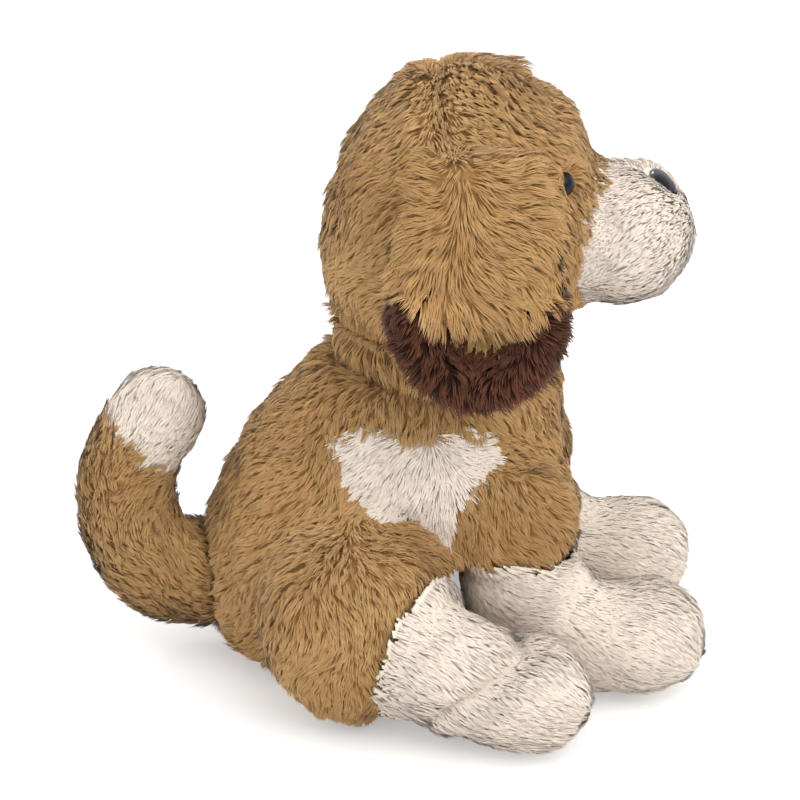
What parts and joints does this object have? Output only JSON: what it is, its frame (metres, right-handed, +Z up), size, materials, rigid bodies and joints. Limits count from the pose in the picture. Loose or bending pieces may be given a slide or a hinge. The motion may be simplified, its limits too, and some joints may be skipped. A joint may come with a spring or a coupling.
{
  "type": "plush dog",
  "caption": "Seated plush puppy with long pile cloth, floppy two-tone ears, cream muzzle, paws and tail tip, and joints at neck, ears, legs and tail.",
  "frame": {"origin": "middle of the flat seat, on the floor", "axes": "+X toward the nose, +Y toward the dog's left side, +Z up"},
  "size_m": [0.3633, 0.3536, 0.361],
  "materials": {
    "tan_pile": "long soft pile",
    "cream_pile": "long soft pile",
    "brown_pile": "long soft pile",
    "fibre_fill": "loose fibre",
    "pouch_cloth": "woven",
    "beans": "pellets",
    "black_gloss": "polished",
    "washer_plastic": "moulded"
  },
  "bodies": {
    "torso": {"body_skin": "tan_pile", "flank_patch": "cream_pile", "body_stuffing": "fibre_fill", "seat_pouch": "pouch_cloth", "seat_beans": "beans"},
    "neck": {"neck_band": "tan_pile", "neck_stuffing": "fibre_fill"},
    "head": {"head_skin": "tan_pile", "muzzle_skin": "cream_pile", "head_stuffing": "fibre_fill", "eye_left": "black_gloss", "eye_right": "black_gloss", "eye_washers": "washer_plastic", "nose": "black_gloss", "nose_washer": "washer_plastic"},
    "tail": {"tail_sleeve": "tan_pile", "tail_tip": "cream_pile", "tail_stuffing": "fibre_fill"},
    "ear_left": {"ear_left_outer": "tan_pile", "ear_left_lining": "brown_pile"},
    "foreleg_left": {"foreleg_left_sleeve": "tan_pile", "foreleg_left_paw": "cream_pile", "foreleg_left_stuffing": "fibre_fill"},
    "hindleg_left": {"hindleg_left_sleeve": "tan_pile", "hindleg_left_paw": "cream_pile", "hindleg_left_stuffing": "fibre_fill"},
    "ear_right": {"ear_right_outer": "tan_pile", "ear_right_lining": "brown_pile"},
    "foreleg_right": {"foreleg_right_sleeve": "tan_pile", "foreleg_right_paw": "cream_pile", "foreleg_right_stuffing": "fibre_fill"},
    "hindleg_right": {"hindleg_right_sleeve": "tan_pile", "hindleg_right_paw": "cream_pile", "hindleg_right_stuffing": "fibre_fill"}
  },
  "joints": [
    {"name": "head_turn", "type": "hinge", "parent": "torso", "child": "neck", "pos_m": [0.068, 0, 0.215], "axis": [0, 0, 1], "range_deg": [-30, 30]},
    {"name": "head_nod", "type": "hinge", "parent": "neck", "child": "head", "pos_m": [0.068, 0, 0.215], "axis": [0, 1, 0], "range_deg": [-12, 12]},
    {"name": "ear_left_lift", "type": "hinge", "parent": "head", "child": "ear_left", "pos_m": [0.08, 0.0821, 0.328], "axis": [1, 0, 0], "range_deg": [0, 60]},
    {"name": "ear_right_lift", "type": "hinge", "parent": "head", "child": "ear_right", "pos_m": [0.08, -0.0821, 0.328], "axis": [-1, 0, 0], "range_deg": [0, 60]},
    {"name": "foreleg_left_raise", "type": "hinge", "parent": "torso", "child": "foreleg_left", "pos_m": [0.108, 0.053, 0.112], "axis": [0, -1, 0], "range_deg": [0, 30]},
    {"name": "foreleg_right_raise", "type": "hinge", "parent": "torso", "child": "foreleg_right", "pos_m": [0.108, -0.053, 0.112], "axis": [0, -1, 0], "range_deg": [0, 30]},
    {"name": "hindleg_left_raise", "type": "hinge", "parent": "torso", "child": "hindleg_left", "pos_m": [0.02, 0.064, 0.06], "axis": [0, -1, 0], "range_deg": [0, 30]},
    {"name": "hindleg_right_raise", "type": "hinge", "parent": "torso", "child": "hindleg_right", "pos_m": [0.02, -0.064, 0.06], "axis": [0, -1, 0], "range_deg": [0, 30]},
    {"name": "tail_wag", "type": "hinge", "parent": "torso", "child": "tail", "pos_m": [-0.077, 0, 0.047], "axis": [0, 0, 1], "range_deg": [-25, 25]}
  ]
}
